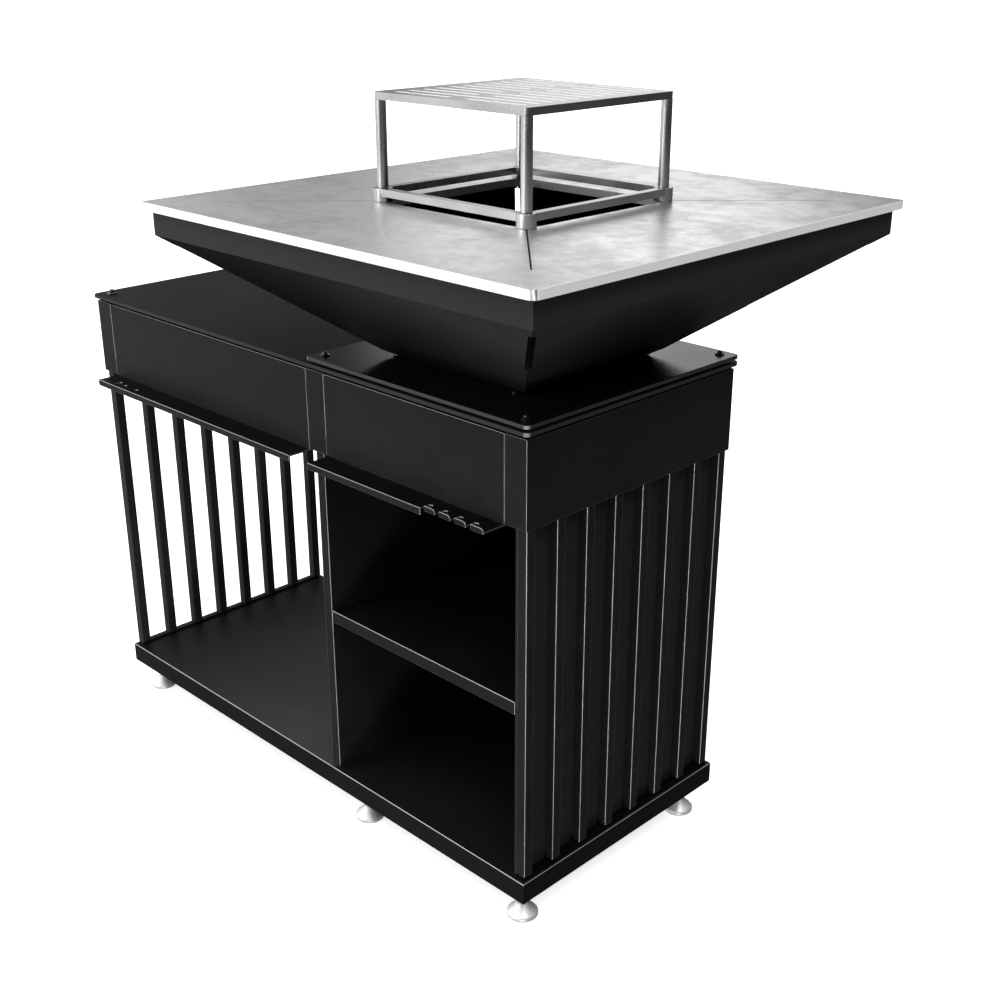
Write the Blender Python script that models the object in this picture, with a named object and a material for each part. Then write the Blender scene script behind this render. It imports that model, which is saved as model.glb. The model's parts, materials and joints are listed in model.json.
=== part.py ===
"""Square fire pit with a cooking plate, a lift-off grate and a storage cabinet.

Metres, +Z up, the long front of the cabinet faces -Y.
The origin is on the floor, under the middle of the bounding box.
"""
import math

import bmesh
import bpy

MM = 0.001
GAP = 0.3 * MM              # gap left between pieces that touch
SHEET = 2.0 * MM            # folded sheet of the cabinet

# Cabinet plan
BASE_X0 = -633.0 * MM
BASE_X1 = 470.0 * MM
BASE_Y = 236.0 * MM         # half depth
BASE_Z0 = 57.0 * MM
BASE_Z1 = 94.0 * MM
BASE_SHEET = 2.5 * MM
BASE_RETURN = 65.0 * MM     # flange folded inwards under the tray
NUT_TOP = 70.0 * MM
NUT_HALF = 15.0 * MM

# Levelling feet
FOOT_INSET = 37.5 * MM
FOOT_MID_X = 62.0 * MM
FOOT_R = 25.0 * MM
FOOT_STEM_R = 7.5 * MM
FOOT_STEM_TOP = 76.0 * MM
FOOT_HOLE_R = 8.0 * MM

# End bars
BAR_W = 17.0 * MM           # along Y
BAR_D = 18.0 * MM           # along X
BAR_WALL = 2.0 * MM
BAR_COUNT = 8
BAR_Y0 = -227.8 * MM
BAR_PITCH = 62.65 * MM
BAR_OUT_LEFT = -627.4 * MM
BAR_OUT_RIGHT = 464.2 * MM
BAR_TOP = 760.0 * MM
POST_TOP = 813.9 * MM
SILL_H = 5.0 * MM
SILL_W = 13.0 * MM

# Inner panels
INNER_Y = 227.8 * MM        # half depth of the panels inside
RIGHT_PANEL_T = 3.5 * MM
DIVIDER_X0 = 2.5 * MM
DIVIDER_X1 = 21.5 * MM
DIVIDER_TOP = 806.0 * MM
SHELF_Z = 398.0 * MM
SHELF_LIP = 21.0 * MM
BACK_T = 2.0 * MM

# Apron
APRON_Z0 = 675.5 * MM
APRON_Z1 = 809.3 * MM
APRON_Y = 232.0 * MM
APRON_X0 = -630.2 * MM
APRON_X1 = 467.2 * MM
OPENING_1 = (-587.0 * MM, -7.0 * MM)
OPENING_2 = (35.0 * MM, 427.0 * MM)
STILE_DEPTH = 20.0 * MM

# Drawers
REVEAL = 2.0 * MM           # gap round a drawer front
FRONT_Z0 = 675.1 * MM
FRONT_Z1 = 808.5 * MM
FRONT_DEPTH = 16.0 * MM
TRAY_INSET = 14.0 * MM      # tray side in from the front's edge
TRAY_Y0 = -215.7 * MM
TRAY_Y1 = 196.0 * MM
TRAY_Z1 = 790.0 * MM
RIB_W = 12.0 * MM
RIB_Z0 = 732.4 * MM
RIB_Z1 = 743.6 * MM
CHANNEL_Z0 = 730.0 * MM
CHANNEL_Z1 = 746.0 * MM
CHANNEL_Y = (-209.0 * MM, 222.0 * MM)

# Tool rails under the drawer fronts
RAIL_T = 2.5 * MM
RAIL_Z1 = 674.8 * MM
RAIL_Y0 = -273.0 * MM
RAIL_Y1 = -196.0 * MM
LIP_H = 11.0 * MM
LIP_R = 5.0 * MM
TAB_H = 6.0 * MM
SLOT_W = 8.7 * MM
SLOT_END_Y = -253.0 * MM
SLOT_XS = (301.1 * MM, 332.0 * MM, 363.3 * MM, 394.6 * MM)
HANG_Y = -260.0 * MM        # opener slot and two round holes, left rail
HANG_SLOT_X = -537.0 * MM
HANG_SLOT_W = 5.4 * MM
HANG_SLOT_L = 14.0 * MM
HANG_HOLE_XS = (-514.0 * MM, -477.0 * MM)
HANG_HOLE_R = 3.5 * MM

# Top plates
LID_X0 = -635.5 * MM
LID_X1 = 472.5 * MM
LID_Y = 237.7 * MM
LID_Z = (814.2 * MM, 821.2 * MM)
PLATE_X0 = -1.2 * MM
PLATE_Z = (825.0 * MM, 831.5 * MM)
PLATE_R = 9.0 * MM
BOLT_INSET = 22.5 * MM
LID_BOLT_X = -605.0 * MM
BOLT_HEAD_R = 7.4 * MM
BOLT_HEAD_H = 6.0 * MM
LID_BOLT_HEAD_R = 9.6 * MM
LID_BOLT_HEAD_H = 9.5 * MM
BOLT_SHANK_R = 4.0 * MM
BOLT_HOLE_R = 4.5 * MM

# Fire bowl and cooking plate
BOWL_X = 235.5 * MM
BOWL_T = 3.0 * MM
RIM_HALF = 387.3 * MM
RIM_Z = (1017.0 * MM, 1054.7 * MM)
KNEE_HALF = 153.3 * MM
KNEE_Z = 841.0 * MM
BOTTOM_HALF = 136.4 * MM
BOTTOM_Z = 831.8 * MM
AIR_SLOT_Z = (908.0 * MM, 1001.5 * MM)
AIR_SLOT_W = 8.4 * MM
SEAM_Z = (843.0 * MM, 1015.0 * MM)
SEAM_W = 0.8 * MM
STUD_R = 3.5 * MM
STUD_H = 4.0 * MM
STUD_X = 128.0 * MM
STUD_Y = 149.0 * MM
COOK_HALF = 400.0 * MM
COOK_Z = (1055.0 * MM, 1067.0 * MM)
COOK_R = 11.0 * MM
HOLE_HALF = 152.2 * MM
HOLE_R = 30.0 * MM
SLIT_W = 2.4 * MM
SLIT_END = 326.0 * MM

# Grate stand
GRATE_HALF = 153.2 * MM
GRATE_Z = (1211.9 * MM, 1222.6 * MM)
GRATE_R = 7.0 * MM
GRATE_T = 2.0 * MM
GRATE_ROWS = 11
GRATE_PITCH = 26.3 * MM
GRATE_SLOT_W = 10.0 * MM
GRATE_SLOT_HALF = 129.7 * MM
GRATE_BRIDGE_HALF = 12.5 * MM
LEG_AT = 145.6 * MM
LEG_R = 8.2 * MM
POST_R = 14.2 * MM
POST_Z = (1067.3 * MM, 1086.6 * MM)
RING_Z0 = 1075.6 * MM
RING_OUT = 155.8 * MM
RING_T = 13.0 * MM
RING_R = 8.0 * MM
RING_INNER_R = 1.0 * MM
RING_SET_DOWN = 0.2 * MM    # ring top below the tops of its posts

MATERIALS = {
    "black_coat": ((0.018, 0.018, 0.019), 0.42, 0.0),
    "cook_steel": ((0.55, 0.55, 0.56), 0.38, 1.0),
    "grate_steel": ((0.62, 0.62, 0.62), 0.30, 1.0),
    "foot_zinc": ((0.80, 0.80, 0.80), 0.25, 1.0),
    "black_bolt": ((0.010, 0.010, 0.010), 0.22, 0.0),
}


def clear_scene():
    for obj in list(bpy.data.objects):
        bpy.data.objects.remove(obj, do_unlink=True)


def material(name):
    found = bpy.data.materials.get(name)
    if found:
        return found
    colour, rough, metal = MATERIALS[name]
    mat = bpy.data.materials.new(name)
    mat.use_nodes = True
    shader = mat.node_tree.nodes["Principled BSDF"]
    shader.inputs["Base Color"].default_value = (*colour, 1.0)
    shader.inputs["Roughness"].default_value = rough
    shader.inputs["Metallic"].default_value = metal
    return mat


def add_object(name, bm, slot=None, parent=None, smooth_angle=None):
    """Turn a bmesh into an object with one material, faces outward."""
    bmesh.ops.recalc_face_normals(bm, faces=bm.faces)
    mesh = bpy.data.meshes.new(name)
    bm.to_mesh(mesh)
    bm.free()
    obj = bpy.data.objects.new(name, mesh)
    bpy.context.scene.collection.objects.link(obj)
    if slot:
        mesh.materials.append(material(slot))
    if smooth_angle:
        shade_round(mesh, smooth_angle)
    if parent:
        obj.parent = parent
        obj.matrix_parent_inverse = parent.matrix_world.inverted()
    return obj


def shade_round(mesh, angle):
    """Shade smooth, with the edges sharper than the angle kept sharp."""
    bm = bmesh.new()
    bm.from_mesh(mesh)
    for face in bm.faces:
        face.smooth = True
    for edge in bm.edges:
        edge.smooth = edge.calc_face_angle(0.0) < math.radians(angle)
    bm.to_mesh(mesh)
    bm.free()


def joint_empty(name, place):
    empty = bpy.data.objects.new(name, None)
    empty.empty_display_size = 0.03
    empty.location = place
    bpy.context.scene.collection.objects.link(empty)
    bpy.context.view_layer.update()
    return empty


def loft(bm, loops, close=False):
    """Skin a run of loops that all have the same number of points."""
    rows = [[bm.verts.new(point) for point in loop] for loop in loops]
    pairs = list(zip(rows, rows[1:]))
    if close:
        pairs.append((rows[-1], rows[0]))
    count = len(rows[0])
    for low, high in pairs:
        for i in range(count):
            j = (i + 1) % count
            bm.faces.new((low[i], low[j], high[j], high[i]))
    if not close:
        bm.faces.new(list(reversed(rows[0])))
        bm.faces.new(rows[-1])


def rect(x0, x1, y0, y1, z):
    return [(x0, y0, z), (x1, y0, z), (x1, y1, z), (x0, y1, z)]


def square(cx, half, z):
    return rect(cx - half, cx + half, -half, half, z)


def round_rect(x0, x1, y0, y1, radius, z, steps=5):
    """Rectangle with rounded corners, counter-clockwise from above."""
    points = []
    corners = ((x1, y1, 0.0), (x0, y1, 90.0), (x0, y0, 180.0), (x1, y0, 270.0))
    for cx, cy, start in corners:
        mx = cx - math.copysign(radius, cx - (x0 + x1) / 2)
        my = cy - math.copysign(radius, cy - (y0 + y1) / 2)
        for i in range(steps + 1):
            turn = math.radians(start + 90.0 * i / steps)
            points.append((mx + radius * math.cos(turn), my + radius * math.sin(turn), z))
    return points


def circle(cx, cy, radius, z, steps=32):
    points = []
    for i in range(steps):
        turn = 2.0 * math.pi * i / steps
        points.append((cx + radius * math.cos(turn), cy + radius * math.sin(turn), z))
    return points


def box(bm, x0, x1, y0, y1, z0, z1):
    loft(bm, [rect(x0, x1, y0, y1, z0), rect(x0, x1, y0, y1, z1)])


def prism_z(bm, outline, z0, z1):
    loft(bm, [[(x, y, z0) for x, y in outline], [(x, y, z1) for x, y in outline]])


def prism_y(bm, outline, y0, y1):
    """Extrude an outline of (x, z) points along Y."""
    loft(bm, [[(x, y0, z) for x, z in outline], [(x, y1, z) for x, z in outline]])


def turned(bm, cx, cy, profile, steps=32):
    """Solid of revolution about a vertical axis from (radius, z) pairs."""
    loft(bm, [circle(cx, cy, radius, z, steps) for radius, z in profile])


def cut(target, name, bm):
    """Subtract a hidden cutter from the target."""
    cutter = add_object(name, bm)
    cutter.hide_render = True
    cutter.display_type = "WIRE"
    mod = target.modifiers.new(name, "BOOLEAN")
    mod.operation = "DIFFERENCE"
    mod.solver = "EXACT"
    mod.object = cutter


def weld(target, name, bm):
    """Union a hidden solid into the target."""
    extra = add_object(name, bm)
    extra.hide_render = True
    extra.display_type = "WIRE"
    mod = target.modifiers.new(name, "BOOLEAN")
    mod.operation = "UNION"
    mod.solver = "EXACT"
    mod.object = extra


def foot_places():
    left = BASE_X0 + FOOT_INSET
    right = BASE_X1 - FOOT_INSET
    side = BASE_Y - FOOT_INSET
    places = []
    for row, y in (("front", -side), ("rear", side)):
        for column, x in (("left", left), ("mid", FOOT_MID_X), ("right", right)):
            places.append((f"{row}_{column}", x, y))
    return places


def bolt_places():
    plate_left = PLATE_X0 + BOLT_INSET
    plate_right = LID_X1 - BOLT_INSET
    side = LID_Y - BOLT_INSET
    places = []
    for row, y in (("front", -side), ("rear", side)):
        places.append((f"{row}_left", plate_left, y))
        places.append((f"{row}_right", plate_right, y))
    return places


def base_tray():
    def level(inset, z):
        return rect(BASE_X0 + inset, BASE_X1 - inset, -BASE_Y + inset, BASE_Y - inset, z)

    bm = bmesh.new()
    flange_top = BASE_Z0 + BASE_SHEET
    loft(bm, [
        level(BASE_SHEET, BASE_Z1 - BASE_SHEET),
        level(BASE_SHEET, flange_top),
        level(BASE_RETURN, flange_top),
        level(BASE_RETURN, BASE_Z0),
        level(0.0, BASE_Z0),
        level(0.0, BASE_Z1),
    ])
    tray = add_object("base_tray", bm, "black_coat")
    nuts = bmesh.new()
    for _, x, y in foot_places():
        box(nuts, x - NUT_HALF, x + NUT_HALF, y - NUT_HALF, y + NUT_HALF,
            flange_top - 1.0 * MM, NUT_TOP)
    weld(tray, "welded_nuts", nuts)
    holes = bmesh.new()
    for _, x, y in foot_places():
        turned(holes, x, y, [(FOOT_HOLE_R, BASE_Z0 - 2 * MM), (FOOT_HOLE_R, NUT_TOP + 2 * MM)], 24)
    cut(tray, "cutter_foot_holes", holes)


def feet():
    for tag, x, y in foot_places():
        axis = joint_empty(f"axis_foot_{tag}", (x, y, BASE_Z0))
        bm = bmesh.new()
        turned(bm, x, y, [
            (FOOT_R - 1.5 * MM, 0.0),
            (FOOT_R, 1.5 * MM),
            (FOOT_R, 6.0 * MM),
            (FOOT_R - 2.0 * MM, 8.5 * MM),
            (13.5 * MM, 17.0 * MM),
            (11.0 * MM, 22.0 * MM),
            (FOOT_STEM_R, 24.0 * MM),
            (FOOT_STEM_R, 49.0 * MM),
            (12.0 * MM, 49.5 * MM),
            (12.0 * MM, BASE_Z0 - GAP),
            (FOOT_STEM_R, BASE_Z0 - GAP),
            (FOOT_STEM_R, FOOT_STEM_TOP),
        ], 28)
        add_object(f"foot_{tag}", bm, "foot_zinc", axis, 35.0)


def end_bars():
    for side, outer in (("left", BAR_OUT_LEFT), ("right", BAR_OUT_RIGHT)):
        x0 = outer if side == "left" else outer - BAR_D
        x1 = x0 + BAR_D
        for i in range(BAR_COUNT):
            y0 = BAR_Y0 + BAR_PITCH * i
            y1 = y0 + BAR_W
            top = POST_TOP if i in (0, BAR_COUNT - 1) else BAR_TOP
            low = BASE_Z1 + GAP + SILL_H + GAP
            wall = BAR_WALL
            bm = bmesh.new()
            loft(bm, [
                rect(x0 + wall, x1 - wall, y0 + wall, y1 - wall, low),
                rect(x0 + wall, x1 - wall, y0 + wall, y1 - wall, top),
                rect(x0, x1, y0, y1, top),
                rect(x0, x1, y0, y1, low),
            ], close=True)
            add_object(f"{side}_bar_{i + 1}", bm, "black_coat")


def sills():
    low = BASE_Z1 + GAP
    bm = bmesh.new()
    box(bm, BAR_OUT_LEFT, BAR_OUT_LEFT + SILL_W, -INNER_Y, INNER_Y, low, low + SILL_H)
    add_object("left_sill", bm, "black_coat")
    bm = bmesh.new()
    box(bm, BAR_OUT_RIGHT - SILL_W, BAR_OUT_RIGHT, -INNER_Y, INNER_Y, low, low + SILL_H)
    add_object("right_sill", bm, "black_coat")


def right_panel_x():
    """Outer and inner face of the panel behind the right-hand bars."""
    outer = BAR_OUT_RIGHT - BAR_D - GAP
    return outer - RIGHT_PANEL_T, outer


def inner_panels():
    low = BASE_Z1 + GAP
    panel_in, panel_out = right_panel_x()
    bm = bmesh.new()
    box(bm, panel_in, panel_out, -INNER_Y, INNER_Y, low, BAR_TOP)
    add_object("right_inner_panel", bm, "black_coat")

    bm = bmesh.new()
    x0, x1 = DIVIDER_X0, DIVIDER_X1
    prism_z(bm, [
        (x0, -INNER_Y), (x1, -INNER_Y), (x1, INNER_Y), (x1 - SHEET, INNER_Y),
        (x1 - SHEET, -INNER_Y + SHEET), (x0 + SHEET, -INNER_Y + SHEET),
        (x0 + SHEET, INNER_Y), (x0, INNER_Y),
    ], low, DIVIDER_TOP)
    add_object("divider", bm, "black_coat")

    shelf_x0, shelf_x1 = x1 + GAP, panel_in - GAP
    back_y = INNER_Y - BACK_T
    bm = bmesh.new()
    box(bm, shelf_x0, shelf_x1, back_y, INNER_Y, low, APRON_Z0 - GAP)
    add_object("back_panel", bm, "black_coat")

    bm = bmesh.new()
    y0, y1 = -INNER_Y, back_y - GAP
    lip, top = SHELF_Z - SHELF_LIP, SHELF_Z
    fold = 12.0 * MM
    outline = [
        (y0, lip), (y0 + fold, lip), (y0 + fold, lip + SHEET), (y0 + SHEET, lip + SHEET),
        (y0 + SHEET, top - SHEET), (y1 - SHEET, top - SHEET), (y1 - SHEET, lip),
        (y1, lip), (y1, top), (y0, top),
    ]
    loft(bm, [[(x, y, z) for y, z in outline] for x in (shelf_x0, shelf_x1)])
    add_object("shelf", bm, "black_coat")


def apron():
    y = APRON_Y
    for name, outer, inner in (
        ("apron_left", APRON_X0, OPENING_1[0]),
        ("apron_right", APRON_X1, OPENING_2[1]),
    ):
        s = math.copysign(SHEET, inner - outer)
        bm = bmesh.new()
        prism_z(bm, [
            (outer, -y), (inner, -y), (inner, -y + SHEET), (outer + s, -y + SHEET),
            (outer + s, y - SHEET), (inner, y - SHEET), (inner, y), (outer, y),
        ], APRON_Z0, APRON_Z1)
        add_object(name, bm, "black_coat")

    x0, x1 = OPENING_1[1], OPENING_2[0]
    back = -y + STILE_DEPTH
    bm = bmesh.new()
    prism_z(bm, [
        (x0, -y), (x1, -y), (x1, back), (x1 - SHEET, back), (x1 - SHEET, -y + SHEET),
        (x0 + SHEET, -y + SHEET), (x0 + SHEET, back), (x0, back),
    ], APRON_Z0, APRON_Z1)
    add_object("apron_stile", bm, "black_coat")

    bm = bmesh.new()
    box(bm, OPENING_1[0] + GAP, OPENING_2[1] - GAP, y - SHEET, y, APRON_Z0, APRON_Z1)
    add_object("apron_back", bm, "black_coat")


def drawer_front(name, x0, x1, parent):
    def level(inset, y):
        a, b = x0 + inset, x1 - inset
        c, d = FRONT_Z0 + inset, FRONT_Z1 - inset
        return [(a, y, c), (b, y, c), (b, y, d), (a, y, d)]

    face = -APRON_Y
    bm = bmesh.new()
    loft(bm, [
        level(0.0, face),
        level(0.0, face + FRONT_DEPTH),
        level(SHEET, face + FRONT_DEPTH),
        level(SHEET, face + SHEET),
    ])
    add_object(f"{name}_front", bm, "black_coat", parent)


def drawer_tray(name, x0, x1, parent):
    """Open tray with a rib along each side that runs in a channel."""
    a, b = x0 + TRAY_INSET, x1 - TRAY_INSET
    z0 = FRONT_Z0
    bm = bmesh.new()
    loft(bm, [
        rect(a + SHEET, b - SHEET, TRAY_Y0 + SHEET, TRAY_Y1 - SHEET, z0 + SHEET),
        rect(a + SHEET, b - SHEET, TRAY_Y0 + SHEET, TRAY_Y1 - SHEET, TRAY_Z1),
        rect(a, b, TRAY_Y0, TRAY_Y1, TRAY_Z1),
        rect(a, b, TRAY_Y0, TRAY_Y1, RIB_Z1),
        rect(a - RIB_W, b + RIB_W, TRAY_Y0, TRAY_Y1, RIB_Z1),
        rect(a - RIB_W, b + RIB_W, TRAY_Y0, TRAY_Y1, RIB_Z0),
        rect(a, b, TRAY_Y0, TRAY_Y1, RIB_Z0),
        rect(a, b, TRAY_Y0, TRAY_Y1, z0),
    ])
    add_object(f"{name}_tray", bm, "black_coat", parent)


def tool_rail_outline(lip_low, tab_high):
    y0, y1 = RAIL_Y0, RAIL_Y1
    low, top = RAIL_Z1 - RAIL_T, RAIL_Z1
    return [
        (y0, lip_low), (y0 + RAIL_T, lip_low), (y0 + RAIL_T, low), (y1, low), (y1, top),
        (y0 + RAIL_T, top), (y0 + RAIL_T, tab_high), (y0, tab_high),
    ]


def plain_rail(name, x0, x1, parent):
    """Flat rail with a turned-down lip whose lower corners are rounded."""
    low, top = RAIL_Z1 - RAIL_T, RAIL_Z1
    lip = top - LIP_H
    loops = []
    steps = 4
    stations = []
    for i in range(steps + 1):
        turn = math.radians(90.0 * i / steps)
        rise = LIP_R * (1.0 - math.sin(turn))
        stations.append((LIP_R * (1.0 - math.cos(turn)), rise))
    ends = [(x0 + dx, rise) for dx, rise in stations]
    ends += [(x1 - dx, rise) for dx, rise in reversed(stations)]
    for x, rise in ends:
        loops.append([
            (x, RAIL_Y0, lip + rise), (x, RAIL_Y0 + RAIL_T, lip + rise),
            (x, RAIL_Y0 + RAIL_T, low), (x, RAIL_Y1, low), (x, RAIL_Y1, top),
            (x, RAIL_Y0, top),
        ])
    bm = bmesh.new()
    loft(bm, loops)
    rail = add_object(name, bm, "black_coat", parent)

    holes = bmesh.new()
    z0, z1 = low - 3 * MM, top + 3 * MM
    half, y = HANG_SLOT_W / 2, HANG_Y
    loft(holes, [round_rect(HANG_SLOT_X - half, HANG_SLOT_X + half, y - HANG_SLOT_L / 2,
                            y + HANG_SLOT_L / 2, 0.96 * half, z, 3) for z in (z0, z1)])
    for x in HANG_HOLE_XS:
        loft(holes, [circle(x, y, HANG_HOLE_R, z, 16) for z in (z0, z1)])
    cut(rail, "cutter_left_rail", holes)


def hook_rail(name, x0, x1, parent):
    """Rail with a lip on the left and upturned tabs between hanging slots."""
    low, top = RAIL_Z1 - RAIL_T, RAIL_Z1
    lip, tab = top - LIP_H, top + TAB_H
    outline = tool_rail_outline(lip, tab)
    bm = bmesh.new()
    loft(bm, [[(x, y, z) for y, z in outline] for x in (x0, x1)])
    rail = add_object(name, bm, "black_coat", parent)

    split = SLOT_XS[0] - SLOT_W / 2
    past = 4.0 * MM
    edges = bmesh.new()
    box(edges, split, x1 + past, RAIL_Y0 - past, RAIL_Y0 + RAIL_T + 1.0 * MM, lip - past, low)
    box(edges, x0 - past, split, RAIL_Y0 - past, RAIL_Y0 + RAIL_T + 1.0 * MM, top, tab + past)
    cut(rail, "cutter_rail_edges", edges)

    rounds = bmesh.new()
    ends = [x - SLOT_W / 2 for x in SLOT_XS[1:]] + [x1]
    for end in ends:
        outline = [(end + 2 * MM, top + 0.2 * MM), (end + 2 * MM, tab + past),
                   (end - TAB_H, tab + past)]
        for i in range(6):
            turn = math.radians(90.0 - 15.0 * i)
            outline.append((end - TAB_H + TAB_H * math.cos(turn), top + TAB_H * math.sin(turn)))
        outline.append((end, top + 0.2 * MM))
        prism_y(rounds, outline, RAIL_Y0 - past, RAIL_Y0 + RAIL_T + 1.0 * MM)
    cut(rail, "cutter_rail_rounds", rounds)

    slots = bmesh.new()
    half = SLOT_W / 2
    for x in SLOT_XS:
        outline = [(x - half, RAIL_Y0 - past), (x + half, RAIL_Y0 - past)]
        for i in range(7):
            turn = math.radians(30.0 * i)
            outline.append((x + half * math.cos(turn),
                            SLOT_END_Y - half + half * math.sin(turn)))
        prism_z(slots, outline, low - 2 * past, tab + 2 * past)
    cut(rail, "cutter_rail_slots", slots)


def channel(name, wall_x, tip_x):
    """C-section fixed beside a drawer, open towards it."""
    s = math.copysign(SHEET, tip_x - wall_x)
    bm = bmesh.new()
    prism_y(bm, [
        (wall_x, CHANNEL_Z0), (tip_x, CHANNEL_Z0), (tip_x, CHANNEL_Z0 + SHEET),
        (wall_x + s, CHANNEL_Z0 + SHEET), (wall_x + s, CHANNEL_Z1 - SHEET),
        (tip_x, CHANNEL_Z1 - SHEET), (tip_x, CHANNEL_Z1), (wall_x, CHANNEL_Z1),
    ], *CHANNEL_Y)
    add_object(name, bm, "black_coat")


def drawers():
    clear = 2.0 * MM
    panel_in, _ = right_panel_x()
    walls = {
        "left_drawer": (BAR_OUT_LEFT + BAR_D + GAP, DIVIDER_X0 - GAP),
        "right_drawer": (DIVIDER_X1 + GAP, panel_in - GAP),
    }
    for name, opening in (("left_drawer", OPENING_1), ("right_drawer", OPENING_2)):
        x0, x1 = opening[0] + REVEAL, opening[1] - REVEAL
        mid = ((x0 + x1) / 2, -APRON_Y, (FRONT_Z0 + FRONT_Z1) / 2)
        axis = joint_empty(f"axis_{name}", mid)
        drawer_front(name, x0, x1, axis)
        drawer_tray(name, x0, x1, axis)
        if name == "left_drawer":
            plain_rail(f"{name}_tool_rail", x0, x1, axis)
        else:
            hook_rail(f"{name}_tool_rail", x0, x1, axis)
        wall_left, wall_right = walls[name]
        channel(f"{name}_channel_left", wall_left, x0 + TRAY_INSET - clear)
        channel(f"{name}_channel_right", wall_right, x1 - TRAY_INSET + clear)


def bolt_holes(places, z0, z1):
    bm = bmesh.new()
    for _, x, y in places:
        loft(bm, [circle(x, y, BOLT_HOLE_R, z, 16) for z in (z0 - 2 * MM, z1 + 2 * MM)])
    return bm


def lid_bolt_places():
    side = LID_Y - BOLT_INSET
    return [("front", LID_BOLT_X, -side), ("rear", LID_BOLT_X, side)]


def top_plates():
    bm = bmesh.new()
    loft(bm, [round_rect(LID_X0, LID_X1, -LID_Y, LID_Y, PLATE_R, z) for z in LID_Z])
    lid = add_object("lid_plate", bm, "black_coat")
    cut(lid, "cutter_lid_holes", bolt_holes(bolt_places() + lid_bolt_places(), *LID_Z))

    bm = bmesh.new()
    loft(bm, [round_rect(PLATE_X0, LID_X1, -LID_Y, LID_Y, PLATE_R, z) for z in PLATE_Z])
    plate = add_object("bowl_plate", bm, "black_coat")
    studs = bmesh.new()
    for sx in (-1, 1):
        for sy in (-1, 1):
            turned(studs, BOWL_X + sx * STUD_X, sy * STUD_Y, [
                (STUD_R, PLATE_Z[1] - 2 * MM), (STUD_R, PLATE_Z[1] + 0.5 * STUD_H),
                (0.7 * STUD_R, PLATE_Z[1] + STUD_H),
            ], 12)
    weld(plate, "welded_studs", studs)
    cut(plate, "cutter_plate_holes", bolt_holes(bolt_places(), *PLATE_Z))


def stepped_cap(z, broad, height):
    """Profile of a bolt head standing on level z: a broad flange with a small dome."""
    small = 0.55 * broad
    return [(broad, z + GAP), (broad, z + 0.28 * height), (broad - MM, z + 0.38 * height),
            (small, z + 0.44 * height), (small, z + 0.72 * height),
            (0.75 * small, z + 0.91 * height), (0.2 * small, z + height)]


def bolts():
    tip = LID_Z[0] + GAP
    shank = BOLT_SHANK_R
    for tag, x, y in bolt_places():
        bm = bmesh.new()
        turned(bm, x, y, [
            (shank, tip), (shank, LID_Z[1] + GAP), (BOLT_HEAD_R - MM, LID_Z[1] + GAP),
            (BOLT_HEAD_R - MM, PLATE_Z[0] - GAP), (shank, PLATE_Z[0] - GAP),
            (shank, PLATE_Z[1] + GAP),
        ] + stepped_cap(PLATE_Z[1], BOLT_HEAD_R, BOLT_HEAD_H), 24)
        add_object(f"plate_bolt_{tag}", bm, "black_bolt", None, 40.0)
    for tag, x, y in lid_bolt_places():
        bm = bmesh.new()
        turned(bm, x, y, [(shank, tip), (shank, LID_Z[1] + GAP)]
               + stepped_cap(LID_Z[1], LID_BOLT_HEAD_R, LID_BOLT_HEAD_H), 24)
        add_object(f"lid_bolt_{tag}", bm, "black_bolt", None, 40.0)


def corner_slabs(width, span):
    """Four upright slabs through the bowl's corner edges, between two levels."""
    bm = bmesh.new()
    near, far = 150.0 * MM, 560.0 * MM
    half = width / 2
    for i in range(4):
        turn = math.radians(45.0 + 90.0 * i)
        c, s = math.cos(turn), math.sin(turn)
        outline = []
        for along, across in ((near, -half), (far, -half), (far, half), (near, half)):
            outline.append((BOWL_X + along * c - across * s, along * s + across * c))
        prism_z(bm, outline, *span)
    return bm


def fire_bowl():
    axis = joint_empty("axis_bowl", (BOWL_X, 0.0, BOTTOM_Z))
    t = BOWL_T
    slope_t = 1.25 * t
    bm = bmesh.new()
    loft(bm, [
        square(BOWL_X, BOTTOM_HALF - t, BOTTOM_Z + t),
        square(BOWL_X, KNEE_HALF - slope_t, KNEE_Z + t),
        square(BOWL_X, RIM_HALF - t, RIM_Z[0] + 0.5 * t),
        square(BOWL_X, RIM_HALF - t, RIM_Z[1]),
        square(BOWL_X, RIM_HALF, RIM_Z[1]),
        square(BOWL_X, RIM_HALF, RIM_Z[0]),
        square(BOWL_X, KNEE_HALF, KNEE_Z),
        square(BOWL_X, BOTTOM_HALF, BOTTOM_Z),
    ])
    bowl = add_object("bowl", bm, "black_coat", axis)
    cut(bowl, "cutter_seams", corner_slabs(SEAM_W, SEAM_Z))
    cut(bowl, "cutter_air_slots", corner_slabs(AIR_SLOT_W, AIR_SLOT_Z))


def cooking_plate():
    axis = joint_empty("axis_cooking_plate", (BOWL_X, 0.0, COOK_Z[0]))

    def outer(z):
        h = COOK_HALF
        return round_rect(BOWL_X - h, BOWL_X + h, -h, h, COOK_R, z)

    def inner(z):
        h = HOLE_HALF
        return round_rect(BOWL_X - h, BOWL_X + h, -h, h, HOLE_R, z)

    bm = bmesh.new()
    loft(bm, [inner(COOK_Z[0]), inner(COOK_Z[1]), outer(COOK_Z[1]), outer(COOK_Z[0])], True)
    plate = add_object("cooking_plate", bm, "cook_steel", axis)

    slits = bmesh.new()
    start = HOLE_HALF - HOLE_R
    half = SLIT_W / 2
    for i in range(4):
        turn = math.radians(45.0 + 90.0 * i)
        c, s = math.cos(turn), math.sin(turn)
        outline = []
        root = math.sqrt(2.0)
        for along, across in ((start, -half), (SLIT_END, -half), (SLIT_END, half), (start, half)):
            outline.append((BOWL_X + root * along * c - across * s,
                            root * along * s + across * c))
        prism_z(slits, outline, COOK_Z[0] - 3 * MM, COOK_Z[1] + 3 * MM)
    cut(plate, "cutter_slits", slits)


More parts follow.
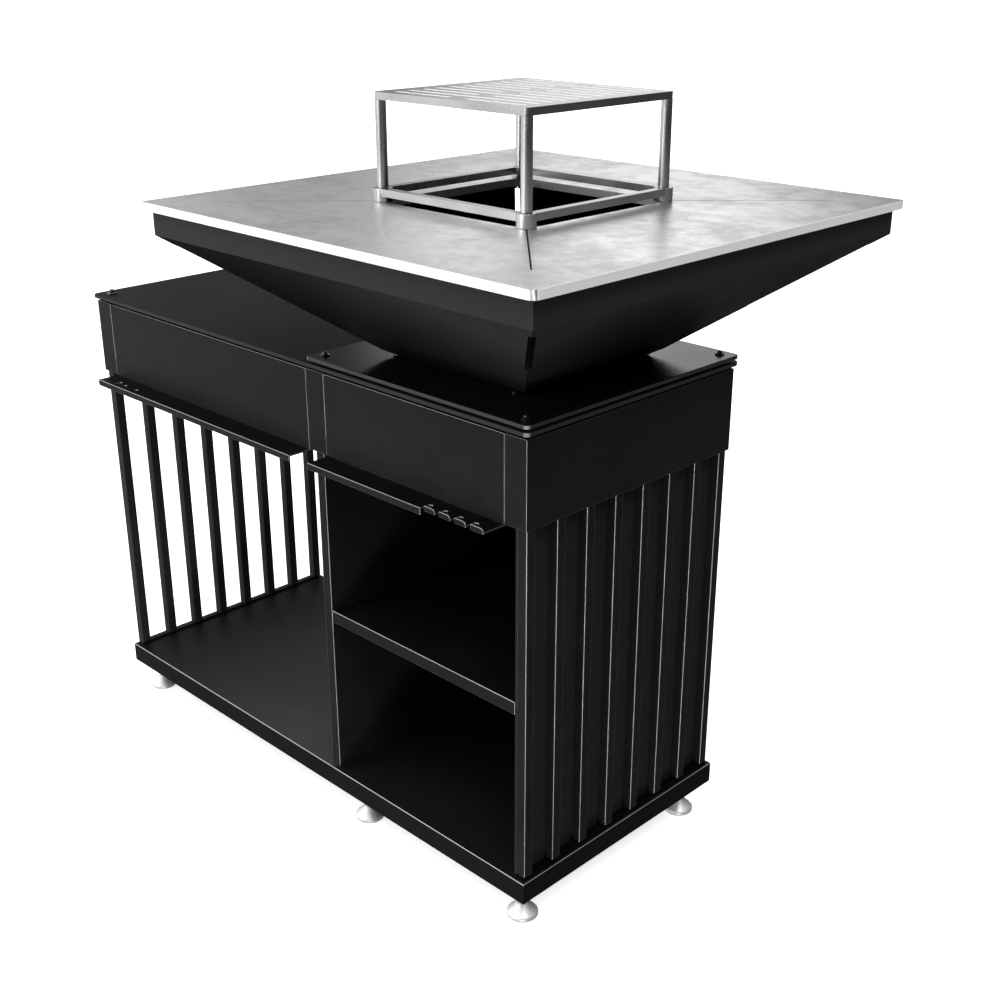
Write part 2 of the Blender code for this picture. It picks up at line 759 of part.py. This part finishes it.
def grate_top(parent):
    def level(inset, radius, z):
        h = GRATE_HALF - inset
        return round_rect(BOWL_X - h, BOWL_X + h, -h, h, radius, z)

    bm = bmesh.new()
    inner_r = GRATE_R - GRATE_T
    loft(bm, [
        level(GRATE_T, inner_r, GRATE_Z[1] - GRATE_T),
        level(GRATE_T, inner_r, GRATE_Z[0]),
        level(0.0, GRATE_R, GRATE_Z[0]),
        level(0.0, GRATE_R, GRATE_Z[1]),
    ])
    top = add_object("grate_top", bm, "grate_steel", parent)

    slots = bmesh.new()
    half = GRATE_SLOT_W / 2
    first = -GRATE_PITCH * (GRATE_ROWS - 1) / 2
    z0, z1 = GRATE_Z[1] - GRATE_T - 2 * MM, GRATE_Z[1] + 2 * MM
    for row in range(GRATE_ROWS):
        y = first + GRATE_PITCH * row
        spans = [(-GRATE_SLOT_HALF, GRATE_SLOT_HALF)]
        if row % 2 == 0:
            spans = [(-GRATE_SLOT_HALF, -GRATE_BRIDGE_HALF), (GRATE_BRIDGE_HALF, GRATE_SLOT_HALF)]
        for x0, x1 in spans:
            loft(slots, [round_rect(BOWL_X + x0, BOWL_X + x1, y - half, y + half,
                                    0.98 * half, z, 3) for z in (z0, z1)])
    cut(top, "cutter_grate_slots", slots)


def grate_ring(parent):
    """Low square ring of flat bar with a round post at each corner."""
    def level(inset, radius, z):
        h = RING_OUT - inset
        return round_rect(BOWL_X - h, BOWL_X + h, -h, h, radius, z)

    bm = bmesh.new()
    ring_top = POST_Z[1] - RING_SET_DOWN
    loft(bm, [
        level(RING_T, RING_INNER_R, RING_Z0),
        level(RING_T, RING_INNER_R, ring_top),
        level(0.0, RING_R, ring_top),
        level(0.0, RING_R, RING_Z0),
    ], close=True)
    ring = add_object("grate_ring", bm, "grate_steel", parent, 30.0)
    posts = bmesh.new()
    for sx in (-1, 1):
        for sy in (-1, 1):
            turned(posts, BOWL_X + sx * LEG_AT, sy * LEG_AT, [
                (POST_R - 0.6 * MM, POST_Z[0]), (POST_R, POST_Z[0] + 0.6 * MM),
                (POST_R, POST_Z[1] - 0.6 * MM), (POST_R - 0.6 * MM, POST_Z[1]),
            ], 32)
    weld(ring, "welded_posts", posts)


def grate_legs(parent):
    spigot = 4.0 * MM
    for tag, sx, sy in (("front_left", -1, -1), ("front_right", 1, -1),
                        ("rear_left", -1, 1), ("rear_right", 1, 1)):
        bm = bmesh.new()
        turned(bm, BOWL_X + sx * LEG_AT, sy * LEG_AT, [
            (LEG_R, POST_Z[1] + GAP), (LEG_R, GRATE_Z[0] - GAP), (spigot, GRATE_Z[0] - GAP),
            (spigot, GRATE_Z[1] - GRATE_T - GAP),
        ], 32)
        add_object(f"grate_leg_{tag}", bm, "grate_steel", parent, 35.0)


def grate_stand():
    axis = joint_empty("axis_grate", (BOWL_X, 0.0, POST_Z[0]))
    grate_top(axis)
    grate_ring(axis)
    grate_legs(axis)


def build():
    clear_scene()
    base_tray()
    feet()
    sills()
    end_bars()
    inner_panels()
    apron()
    drawers()
    top_plates()
    bolts()
    fire_bowl()
    cooking_plate()
    grate_stand()


build()
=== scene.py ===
"""Looks for the fire pit with grate: materials, light, floor and camera around the CAD frame."""
import json
import math
import bpy
from mathutils import Euler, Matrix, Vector


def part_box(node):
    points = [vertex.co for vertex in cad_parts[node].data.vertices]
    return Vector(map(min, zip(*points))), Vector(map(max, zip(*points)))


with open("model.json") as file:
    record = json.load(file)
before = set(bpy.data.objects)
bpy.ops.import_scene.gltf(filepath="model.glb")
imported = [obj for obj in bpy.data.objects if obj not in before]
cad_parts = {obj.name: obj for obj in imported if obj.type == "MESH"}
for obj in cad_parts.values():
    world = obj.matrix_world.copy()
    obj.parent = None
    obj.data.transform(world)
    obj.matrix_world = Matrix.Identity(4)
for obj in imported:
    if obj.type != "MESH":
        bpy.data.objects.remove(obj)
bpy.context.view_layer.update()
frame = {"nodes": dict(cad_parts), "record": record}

NODES = frame["nodes"]

# Camera, from the solved view
CAM_PLACE = (1.6398, -1.4655, 1.4177)
CAM_TURN = (67.82, 0.05, 44.736)
CAM_LENS = 49.11
SENSOR = 36.0

MM = 0.001
FLOOR_HALF = 60.0

# Soft patches of the surroundings: direction, then step low, step high and strength
UP = (0.0, 0.0, 1.0)
ROOF = (UP, 0.34, 0.85, 1.15)
FRONT_LEFT = ((-0.70, -0.71, 0.10), 0.12, 0.85, 1.6)
FRONT_LIFT = (UP, -0.6, 0.1, 1.0)
BACK_LEFT = ((-0.80, 0.60, 0.15), 0.2, 0.9, 0.05)
BACK_GLOW = ((-0.611, 0.754, 0.242), 0.976, 0.998, 1.6)
SKY_LOW = 0.07
FLOOR_GLOW = 0.7
# Suns: name, azimuth (0 is in front), elevation, strength, size, degrees
SUNS = (
    ("front", -12.0, 6.0, 0.6, 20.0),
    ("low_right", 46.0, -27.0, 0.9, 16.0),
    ("high_right", 60.0, 55.0, 0.9, 25.0),
    ("key", -60.0, 50.0, 0.35, 25.0),
)

# Places from the frame, metres
BOWL_LOW, BOWL_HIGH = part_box("bowl")
BOWL_X = (BOWL_LOW.x + BOWL_HIGH.x) / 2
RIM_START = BOWL_HIGH.z - 37.7 * MM     # lower edge of the bowl's upright rim
APRON_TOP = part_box("apron_right")[1].z
TRAY_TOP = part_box("base_tray")[1].z
COOK_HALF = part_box("cooking_plate")[1].y
GRATE_TOP_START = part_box("grate_top")[0].z - 3.4 * MM
GRATE_SLOTS_HALF = 0.142    # the slots in the grate's top lie within this
AIR_SLOT_HALF = 0.0068      # |x| - |y| at the lips of the slots in the bowl's corners
AIR_SLOT_Z = (0.9075, 1.0020)
OPEN_BAY_X = (-0.58, -0.10)     # painted shade and light: the open bay's floor goes from dark to light
BAY_CHANGE_X = (0.002, 0.020)   # under the divider, where the painted shade of the closed bay begins

# Tones of the coating, and its specular level
COAT_TONES = (0.0135, 0.0185)
# a lighter copy of the coat for the left bars and posts: painted light
LEFT_BAR_LIT_TONES = (0.0240, 0.0310)
COAT_LEVEL = 0.04
SHEET_SIDE_SHEEN = 0.042          # painted sheen on the cut sides and painted glint on the corners of the two top plates
SHEET_CORNER_GLINT = 0.35
SHEET_CORNER_GLINT_SPAN = (-8.0 * MM, -5.3 * MM)  # span of the painted corner glint, from the square corner, both ways added

# Edge rounding of the CAD nodes, metres: first matching name wins
BEVELS = (
    ("base_tray", 0.0012),
    ("left_bar", 0.0012),
    ("right_bar", 0.0012),
    ("apron", 0.0007),
    ("divider", 0.0009),
    ("shelf", 0.0009),
    ("right_inner_panel", 0.0010),
    ("back_panel", 0.0006),
    ("left_sill", 0.0010),
    ("right_sill", 0.0010),
    ("left_drawer_front", 0.0006),
    ("right_drawer_front", 0.0006),
    ("left_drawer_tool_rail", 0.0007),
    ("right_drawer_tool_rail", 0.0007),
    ("lid_plate", 0.0010),
    ("bowl_plate", 0.0010),
    ("bowl", 0.0006),
)
# Nodes whose rounded edges catch the light
BRIGHT_EDGES = (
    "base_tray", "right_bar", "apron", "divider", "shelf", "left_drawer_front",
    "right_drawer_front", "left_drawer_tool_rail", "right_drawer_tool_rail",
)
# Edge angles, degrees: shaded sharp above the first, rounded above the second
SMOOTH_LIMIT = 52.0
CREASE_LIMIT = 28.0
FLAT_LIMIT = 0.4            # faces this close to one plane are merged before rounding
WELD_GAP = 0.00001
ROUND_STEPS = 2
FACE_WEIGHT = 50


# ---------------------------------------------------------------- node helpers
class NodeTree:
    """A node tree, built by short calls."""

    def __init__(self, tree):
        self.tree = tree

    def node(self, kind, **props):
        made = self.tree.nodes.new(kind)
        for key, value in props.items():
            setattr(made, key, value)
        return made

    def link(self, source, target):
        self.tree.links.new(source, target)

    def math(self, operation, a, b=0.0):
        made = self.node("ShaderNodeMath", operation=operation)
        for socket, value in zip(made.inputs, (a, b)):
            if isinstance(value, (int, float)):
                socket.default_value = value
            else:
                self.link(value, socket)
        return made.outputs["Value"]


class Shader(NodeTree):
    """A material with a Principled shader and the object's own coordinates."""

    def __init__(self, name):
        self.mat = bpy.data.materials.new(name)
        self.mat.use_nodes = True
        super().__init__(self.mat.node_tree)
        self.bsdf = self.tree.nodes["Principled BSDF"]
        self.coord = self.node("ShaderNodeTexCoord").outputs["Object"]

    def noise(self, scale, detail=2.0, rough=0.5, distortion=0.0):
        made = self.node("ShaderNodeTexNoise")
        made.inputs["Scale"].default_value = scale
        made.inputs["Detail"].default_value = detail
        made.inputs["Roughness"].default_value = rough
        made.inputs["Distortion"].default_value = distortion
        self.link(self.coord, made.inputs["Vector"])
        return made.outputs["Fac"]

    def spread(self, value, low, high, out_low=0.0, out_high=1.0):
        made = self.node("ShaderNodeMapRange", clamp=True)
        for key, number in (("From Min", low), ("From Max", high),
                            ("To Min", out_low), ("To Max", out_high)):
            made.inputs[key].default_value = number
        self.link(value, made.inputs["Value"])
        return made.outputs["Result"]

    def split(self, vector):
        made = self.node("ShaderNodeSeparateXYZ")
        self.link(vector, made.inputs["Vector"])
        return made.outputs

    def place(self):
        """X, Y and Z of the surface point."""
        return self.split(self.coord)

    def facing_up(self):
        """How far the surface faces up, -1 to 1."""
        return self.split(self.node("ShaderNodeNewGeometry").outputs["Normal"])["Z"]

    def mix(self, factor, a, b):
        """Blend of two colours: each a grey tone, an RGB tuple or a socket."""
        made = self.node("ShaderNodeMix", data_type="RGBA")
        self.link(factor, made.inputs["Factor"])
        for socket, value in ((made.inputs[6], a), (made.inputs[7], b)):
            if isinstance(value, float):
                socket.default_value = (value, value, value, 1.0)
            elif isinstance(value, tuple):
                socket.default_value = (*value, 1.0)
            else:
                self.link(value, socket)
        return made.outputs[2]

    def set(self, **sockets):
        for key, value in sockets.items():
            socket = self.bsdf.inputs[key.replace("_", " ")]
            if isinstance(value, (int, float)):
                socket.default_value = value
            elif isinstance(value, tuple):
                socket.default_value = (*value, 1.0)
            else:
                self.link(value, socket)

    def bump(self, layers):
        """Chain of (height, strength, distance) bumps into the shader's normal."""
        normal = None
        for height, strength, distance in layers:
            made = self.node("ShaderNodeBump")
            made.inputs["Strength"].default_value = strength
            made.inputs["Distance"].default_value = distance
            self.link(height, made.inputs["Height"])
            if normal:
                self.link(normal, made.inputs["Normal"])
            normal = made.outputs["Normal"]
        self.link(normal, self.bsdf.inputs["Normal"])


# ---------------------------------------------------------------- materials
def powder_grain(name, level):
    """A matt coating but for its colour: faint clouds in its gloss, a fine orange-peel grain."""
    s = Shader(name)
    s.cloud = s.noise(7.0, 4.0, 0.55)
    s.set(Roughness=s.spread(s.cloud, 0.3, 0.7, 0.36, 0.44), Specular_IOR_Level=level)
    s.bump([(s.noise(520.0, 2.0, 0.6), 0.10, 0.0003)])
    return s


def powder_coat(name, dark, light, level):
    """The matt coating with faint clouds between two greys."""
    s = powder_grain(name, level)
    fine = s.noise(60.0, 3.0, 0.6)
    blend = s.math("ADD", s.math("MULTIPLY", s.cloud, 0.6), s.math("MULTIPLY", fine, 0.4))
    s.set(Base_Color=s.mix(s.spread(blend, 0.35, 0.65), dark, light))
    return s.mat


def sheet_colour(s, node, top):
    """A sheet's colour: its top as given, a painted sheen on its cut sides, a painted glint on
    its corners.
    """
    low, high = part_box(node)
    x, y, _ = s.place()
    past = None
    for place, a, b in ((x, low[0], high[0]), (y, low[1], high[1])):
        from_middle = s.math("ABSOLUTE", s.math("SUBTRACT", place, (a + b) / 2))
        inward = s.math("SUBTRACT", from_middle, (b - a) / 2)
        past = s.math("ADD", past, inward) if past else inward
    # painted glint near the corners, painted sheen along the cut sides
    side = s.mix(s.spread(past, *SHEET_CORNER_GLINT_SPAN), SHEET_SIDE_SHEEN, SHEET_CORNER_GLINT)
    return s.mix(s.spread(s.facing_up(), 0.05, 0.25), side, top)


def plate_coat():
    """The darker, glossier coat of the plate under the bowl."""
    s = powder_grain("plate_coat", 0.26)
    tone = s.spread(s.noise(9.0, 3.0, 0.5), 0.3, 0.7)
    polish = s.spread(s.place()["X"], 0.05, 0.30, 0.10, 0.24)
    s.set(
        Base_Color=sheet_colour(s, "bowl_plate", s.mix(tone, 0.005, 0.008)),
        Roughness=s.math("ADD", polish, s.spread(tone, 0.0, 1.0, 0.0, 0.04)),
    )
    return s.mat


def lid_coat():
    s = powder_grain("lid_coat", 0.015)
    top = s.mix(s.spread(s.cloud, 0.35, 0.65), 0.0120, 0.0155)
    s.set(Base_Color=sheet_colour(s, "lid_plate", top))
    return s.mat


def post_coat(name, dark, light):
    """The coat on the corner posts, with painted shade where they rise behind the apron."""
    s = powder_grain(name, COAT_LEVEL)
    coat = s.mix(s.spread(s.cloud, 0.35, 0.65), dark, light)
    # painted shade: near black above the apron's top
    shade_above_apron = s.spread(s.place()["Z"], APRON_TOP - MM, APRON_TOP)
    s.set(Base_Color=s.mix(shade_above_apron, coat, 0.001))
    return s.mat


def ledge_coat(name, side):
    """The coat on the shelf and the tool rails: darker on top than on the front, as painted
    shade on the tops.
    """
    s = powder_grain(name, COAT_LEVEL)
    tone = s.spread(s.cloud, 0.35, 0.65)
    top = s.mix(tone, 0.0030, 0.0045)
    front = s.mix(tone, side, 1.3 * side)
    # painted shade on the tops, the fronts lighter
    s.set(Base_Color=s.mix(s.spread(s.facing_up(), 0.4, 0.7), front, top))
    return s.mat


def tray_coat():
    """The coat on the base tray: dark walls, an open bay painted from shade to light toward the
    divider, painted shade in the closed bay.
    """
    s = powder_grain("tray_coat", 0.06)
    tone = s.spread(s.noise(6.0, 4.0, 0.5), 0.3, 0.7)
    walls = s.mix(tone, 0.0070, 0.0090)
    left_end = s.mix(tone, 0.0060, 0.0080)
    right_end = s.mix(tone, 0.0340, 0.0420)
    x = s.place()["X"]
    # painted shade and light across the open bay's floor
    open_bay_shading = s.mix(s.spread(x, *OPEN_BAY_X), left_end, right_end)
    # painted shade in the closed bay
    closed_bay_shade = s.mix(tone, 0.0050, 0.0065)
    ground = s.mix(s.spread(x, *BAY_CHANGE_X), open_bay_shading, closed_bay_shade)
    s.set(Base_Color=s.mix(s.spread(s.facing_up(), 0.4, 0.7), walls, ground))
    return s.mat


def between(s, value, low, high):
    """1 where a value lies between two others, 0 elsewhere."""
    above = s.math("GREATER_THAN", value, low)
    return s.math("MULTIPLY", above, s.math("LESS_THAN", value, high))


def bowl_coat():
    """The coat on the bowl: near black inside, painted shade in its corner slots, painted light
    and shade on its slopes, a flat tone on the rim.
    """
    s = powder_grain("bowl_coat", 0.06)
    x, y, z = s.place()
    x = s.math("SUBTRACT", x, BOWL_X)
    bowl_mottle = s.spread(s.noise(5.0, 4.0, 0.6), 0.3, 0.7)
    shaded_slope = s.mix(bowl_mottle, 0.0030, 0.0045)
    lit_slope = s.mix(bowl_mottle, 0.0440, 0.0520)
    # painted light on the slopes toward the near side, painted shade away from it
    toward_front = s.spread(s.math("SUBTRACT", x, s.math("MULTIPLY", y, 1.6)), -0.2, 0.8)
    slope = s.mix(s.math("POWER", toward_front, 3.0), shaded_slope, lit_slope)
    rim = s.spread(z, RIM_START - MM, RIM_START + MM)
    outside = s.mix(rim, slope, 0.027)
    # painted shade in the corner air slots
    off_corner = s.math("SUBTRACT", s.math("ABSOLUTE", x), s.math("ABSOLUTE", y))
    in_slot = s.math("LESS_THAN", s.math("ABSOLUTE", off_corner), AIR_SLOT_HALF)
    slot = s.math("MULTIPLY", in_slot, between(s, z, *AIR_SLOT_Z))
    outside = s.mix(slot, outside, 0.0005)
    # near black on the upward faces inside the bowl
    s.set(Base_Color=s.mix(s.spread(s.facing_up(), 0.02, 0.10), outside, 0.0015))
    return s.mat


def bright_edge():
    """Rounded edges of the coated sheet, a little polished between tray and apron top; painted
    shade makes them dark above the apron's top, and they are dark below the tray's top.
    """
    s = Shader("bright_edge")
    wear = s.noise(9.0, 3.0, 0.6)
    shine = s.mix(s.spread(wear, 0.3, 0.7), 0.28, 0.36)
    z = s.place()["Z"]
    # painted shade: dark above the apron's top
    above = s.spread(z, APRON_TOP - 0.6 * MM, APRON_TOP - 0.4 * MM)
    below = s.spread(z, TRAY_TOP - 3 * MM, TRAY_TOP - 2 * MM, 1.0, 0.0)
    s.set(
        Base_Color=s.mix(s.math("MAXIMUM", above, below), shine, 0.008),
        Metallic=0.8,
        Roughness=s.spread(wear, 0.3, 0.7, 0.28, 0.34),
    )
    return s.mat


def from_bowl_middle(s, x, y):
    """The larger of the distances along X and Y from the bowl's middle."""
    across = s.math("ABSOLUTE", s.math("SUBTRACT", x, BOWL_X))
    return s.math("MAXIMUM", across, s.math("ABSOLUTE", y))


def cooking_steel():
    """Bare rolled steel: cloudy grey mill surface, fine specks, pale milled sides, painted light
    toward the front and painted shade toward the rear.
    """
    s = Shader("cooking_steel")
    broad = s.noise(6.0, 8.0, 0.70, distortion=0.6)
    patch = s.noise(34.0, 8.0, 0.75)
    speck = s.noise(300.0, 3.0, 0.6)
    blend = s.math("ADD", s.math("MULTIPLY", broad, 0.5), s.math("MULTIPLY", patch, 0.5))
    tone = s.spread(blend, 0.42, 0.58)
    x, y, _ = s.place()
    # painted light toward the front, painted shade toward the rear
    front = s.mix(tone, (0.68, 0.68, 0.685), (0.97, 0.975, 0.98))
    shaded_rear = s.mix(tone, (0.29, 0.29, 0.295), (0.46, 0.465, 0.47))
    colour = s.mix(s.spread(y, -COOK_HALF, COOK_HALF), front, shaded_rear)
    top = s.mix(s.spread(speck, 0.30, 0.70, 0.0, 0.30), colour, 0.76)
    reach = from_bowl_middle(s, x, y)
    side = s.spread(reach, COOK_HALF - 1.2 * MM, COOK_HALF - 0.6 * MM)
    s.set(
        Base_Color=s.mix(side, top, 0.92),
        Metallic=s.spread(side, 0.0, 1.0, 1.0, 0.0),
        Roughness=s.spread(tone, 0.0, 1.0, 0.40, 0.30),
    )
    s.bump([(patch, 0.05, 0.002), (speck, 0.05, 0.0004)])
    return s.mat


def grate_stainless():
    """Satin stainless with a fine sparkle; the walls of the top's slots are painted pale as
    painted light.
    """
    s = Shader("grate_stainless")
    fine = s.noise(700.0, 2.0, 0.6)
    cloud = s.noise(12.0, 3.0, 0.5)
    blend = s.math("ADD", s.math("MULTIPLY", fine, 0.6), s.math("MULTIPLY", cloud, 0.4))
    grain = s.spread(blend, 0.35, 0.65)
    satin = s.mix(grain, (0.33, 0.33, 0.335), (0.50, 0.50, 0.505))
    darker_top = s.mix(grain, (0.24, 0.24, 0.245), (0.36, 0.36, 0.365))
    # darker on the upward faces
    satin = s.mix(s.spread(s.facing_up(), 0.6, 0.9), satin, darker_top)
    x, y, z = s.place()
    inside = s.math("LESS_THAN", from_bowl_middle(s, x, y), GRATE_SLOTS_HALF)
    high = s.math("GREATER_THAN", z, GRATE_TOP_START)
    upright = s.spread(s.facing_up(), 0.3, 0.6, 1.0, 0.0)
    # painted light on the walls of the top's slots
    lit_slot_wall = s.math("MULTIPLY", s.math("MULTIPLY", inside, high), upright)
    s.set(
        Base_Color=s.mix(lit_slot_wall, satin, 0.80),
        Metallic=s.spread(lit_slot_wall, 0.0, 1.0, 1.0, 0.0),
        Roughness=s.spread(cloud, 0.3, 0.7, 0.24, 0.30),
    )
    s.bump([(fine, 0.06, 0.0002)])
    return s.mat


def foot_plating():
    s = Shader("foot_plating")
    cloud = s.noise(70.0, 3.0, 0.6)
    s.set(
        Base_Color=s.mix(s.spread(cloud, 0.3, 0.7), (0.70, 0.70, 0.71), (0.80, 0.80, 0.81)),
        Metallic=0.45,
        Roughness=s.spread(cloud, 0.3, 0.7, 0.36, 0.46),
    )
    s.bump([(s.noise(600.0, 2.0, 0.5), 0.04, 0.0002)])
    return s.mat


def black_bolt():
    s = Shader("black_bolt")
    cloud = s.noise(160.0, 2.0, 0.5)
    s.set(
        Base_Color=s.mix(s.spread(cloud, 0.3, 0.7), 0.006, 0.012),
        Roughness=s.spread(cloud, 0.3, 0.7, 0.12, 0.22),
    )
    s.bump([(cloud, 0.04, 0.0003)])
    return s.mat


def floor_material():
    s = Shader("pale_floor")
    s.set(
        Base_Color=s.mix(s.spread(s.noise(1.5, 3.0, 0.5), 0.3, 0.7), 0.80, 0.83),
        Roughness=0.9,
        Specular_IOR_Level=0.0,
        Emission_Color=(1.0, 1.0, 1.0),
        Emission_Strength=FLOOR_GLOW,
    )
    return s.mat


# ---------------------------------------------------------------- CAD nodes
def smooth_by_angle():
    """Node group: shade smooth, with edges over the limit kept sharp."""
    group = bpy.data.node_groups.new("smooth_by_angle", "GeometryNodeTree")
    group.interface.new_socket("Geometry", in_out="INPUT", socket_type="NodeSocketGeometry")
    group.interface.new_socket("Geometry", in_out="OUTPUT", socket_type="NodeSocketGeometry")
    add = group.nodes.new
    start = add("NodeGroupInput")
    end = add("NodeGroupOutput")
    faces = add("GeometryNodeSetShadeSmooth")
    faces.domain = "FACE"
    edges = add("GeometryNodeSetShadeSmooth")
    edges.domain = "EDGE"
    edges.inputs["Shade Smooth"].default_value = False
    angle = add("GeometryNodeInputMeshEdgeAngle")
    over = add("FunctionNodeCompare")
    over.data_type = "FLOAT"
    over.operation = "GREATER_THAN"
    over.inputs[1].default_value = math.radians(SMOOTH_LIMIT)
    link = group.links.new
    link(start.outputs[0], faces.inputs["Geometry"])
    link(faces.outputs[0], edges.inputs["Geometry"])
    link(angle.outputs["Unsigned Angle"], over.inputs[0])
    link(over.outputs[0], edges.inputs["Selection"])
    link(edges.outputs[0], end.inputs[0])
    return group


def round_edges(node, width, group, edge_slot):
    """Round the edges by a width, if any, and shade the faces smooth."""
    weld = node.modifiers.new("weld", "WELD")
    weld.merge_threshold = WELD_GAP
    if width:
        flat = node.modifiers.new("flat_faces", "DECIMATE")
        flat.decimate_type = "DISSOLVE"
        flat.angle_limit = math.radians(FLAT_LIMIT)
        bevel = node.modifiers.new("edge_round", "BEVEL")
        bevel.width = width
        bevel.segments = ROUND_STEPS
        bevel.limit_method = "ANGLE"
        bevel.angle_limit = math.radians(CREASE_LIMIT)
        bevel.use_clamp_overlap = False
        bevel.material = edge_slot
    shade = node.modifiers.new("shade", "NODES")
    shade.node_group = group
    weights = node.modifiers.new("weights", "WEIGHTED_NORMAL")
    weights.mode = "FACE_AREA"
    weights.weight = FACE_WEIGHT
    weights.keep_sharp = True


def node_materials():
    """Materials for the nodes that don't take their slot's own."""
    # painted shade: a darker copy of the coat for the back panel
    inner = powder_coat("inner_shade_coat", 0.0080, 0.0110, 0.05)
    rail = ledge_coat("rail_coat", 0.0150)
    made = {
        "bowl": bowl_coat(),
        "bowl_plate": plate_coat(),
        "lid_plate": lid_coat(),
        "base_tray": tray_coat(),
        # painted light: the panel between the slats lighter than the coat
        "right_inner_panel": powder_coat("slat_panel_lit_coat", 0.0180, 0.0230, COAT_LEVEL),
        "shelf": ledge_coat("shelf_coat", 0.0125),
        "back_panel": inner,
        "left_drawer_tool_rail": rail,
        "right_drawer_tool_rail": rail,
        # painted shade: the sill near black
        "right_sill": powder_coat("sill_painted_shade", 0.0020, 0.0030, 0.03),
    }
    left_bar = powder_coat("left_bar_lit_coat", *LEFT_BAR_LIT_TONES, COAT_LEVEL)
    left_post = post_coat("left_post_lit_coat", *LEFT_BAR_LIT_TONES)
    right_post = post_coat("right_post_coat", *COAT_TONES)
    made.update({f"left_bar_{i}": left_bar for i in range(2, 8)})
    for i in (1, 8):
        made[f"left_bar_{i}"] = left_post
        made[f"right_bar_{i}"] = right_post
    return made


def dress_nodes():
    """Give every CAD node its material and rounded edges."""
    made = {
        "black_coat": powder_coat("black_powder_coat", *COAT_TONES, COAT_LEVEL),
        "cook_steel": cooking_steel(),
        "grate_steel": grate_stainless(),
        "foot_zinc": foot_plating(),
        "black_bolt": black_bolt(),
    }
    own = node_materials()
    edge = bright_edge()
    slots = {row["node"]: row["material_slot"] for row in frame["record"]["subparts"]}
    group = smooth_by_angle()
    for name, node in NODES.items():
        mat = own.get(name, made[slots[name]])
        for slot in node.material_slots:
            slot.material = mat
        edge_slot = -1
        if name.startswith(BRIGHT_EDGES):
            node.data.materials.append(edge)
            edge_slot = len(node.data.materials) - 1
        width = next((w for start, w in BEVELS if name.startswith(start)), None)
        round_edges(node, width, group, edge_slot)


# ---------------------------------------------------------------- stage
def make_floor():
    """A pale floor that the model neither reflects nor is lit by."""
    mesh = bpy.data.meshes.new("floor")
    h = FLOOR_HALF
    mesh.from_pydata([(-h, -h, 0), (h, -h, 0), (h, h, 0), (-h, h, 0)], [], [(0, 1, 2, 3)])
    floor = bpy.data.objects.new("floor", mesh)
    bpy.context.scene.collection.objects.link(floor)
    mesh.materials.append(floor_material())
    floor.visible_diffuse = False
    floor.visible_glossy = False
    floor.visible_shadow = False


class Sky(NodeTree):
    """Background strength put together from soft patches of light."""

    def __init__(self):
        world = bpy.data.worlds.new("studio")
        bpy.context.scene.world = world
        world.use_nodes = True
        super().__init__(world.node_tree)
        self.back = self.tree.nodes["Background"]
        self.back.inputs["Color"].default_value = (1.0, 1.0, 1.0, 1.0)
        self.coord = self.node("ShaderNodeTexCoord").outputs["Generated"]

    def patch(self, toward, low, high, strength):
        """Smooth step of the angle to a direction, from 0 up to the strength."""
        dot = self.node("ShaderNodeVectorMath", operation="DOT_PRODUCT")
        dot.inputs[1].default_value = Vector(toward).normalized()
        self.link(self.coord, dot.inputs[0])
        ramp = self.node("ShaderNodeMapRange", interpolation_type="SMOOTHSTEP")
        for key, number in (("From Min", low), ("From Max", high), ("To Max", strength)):
            ramp.inputs[key].default_value = number
        self.link(dot.outputs["Value"], ramp.inputs["Value"])
        return ramp.outputs["Result"]

    def finish(self, strength):
        """Light the model with the patches; seen directly, the backdrop is plain white."""
        seen = self.node("ShaderNodeLightPath").outputs["Is Camera Ray"]
        self.link(self.math("MAXIMUM", strength, seen), self.back.inputs["Strength"])


def make_world():
    """Soft studio surroundings: a bright roof, bright front left, dim right."""
    sky = Sky()
    front = sky.math("MULTIPLY", sky.patch(*FRONT_LEFT), sky.patch(*FRONT_LIFT))
    total = sky.math("ADD", sky.patch(*ROOF), front)
    total = sky.math("ADD", total, sky.math("ADD", sky.patch(*BACK_LEFT), SKY_LOW))
    sky.finish(sky.math("ADD", total, sky.patch(*BACK_GLOW)))


def sun(name, azimuth, elevation, strength, angle):
    """A soft sun shining from the given direction (azimuth 0 is in front, -Y)."""
    data = bpy.data.lights.new(name, "SUN")
    data.energy = strength
    data.angle = math.radians(angle)
    light = bpy.data.objects.new(name, data)
    a, e = math.radians(azimuth), math.radians(elevation)
    toward = Vector((math.sin(a) * math.cos(e), -math.cos(a) * math.cos(e), math.sin(e)))
    light.rotation_euler = toward.to_track_quat("Z", "Y").to_euler()
    bpy.context.scene.collection.objects.link(light)


def make_camera():
    data = bpy.data.cameras.new("camera")
    data.lens = CAM_LENS
    data.sensor_width = SENSOR
    data.clip_end = 200.0
    camera = bpy.data.objects.new("camera", data)
    camera.location = CAM_PLACE
    camera.rotation_euler = Euler([math.radians(v) for v in CAM_TURN])
    bpy.context.scene.collection.objects.link(camera)
    bpy.context.scene.camera = camera


def main():
    bpy.context.scene.view_settings.view_transform = "Standard"
    dress_nodes()
    make_floor()
    make_world()
    for row in SUNS:
        sun(*row)
    make_camera()


main()
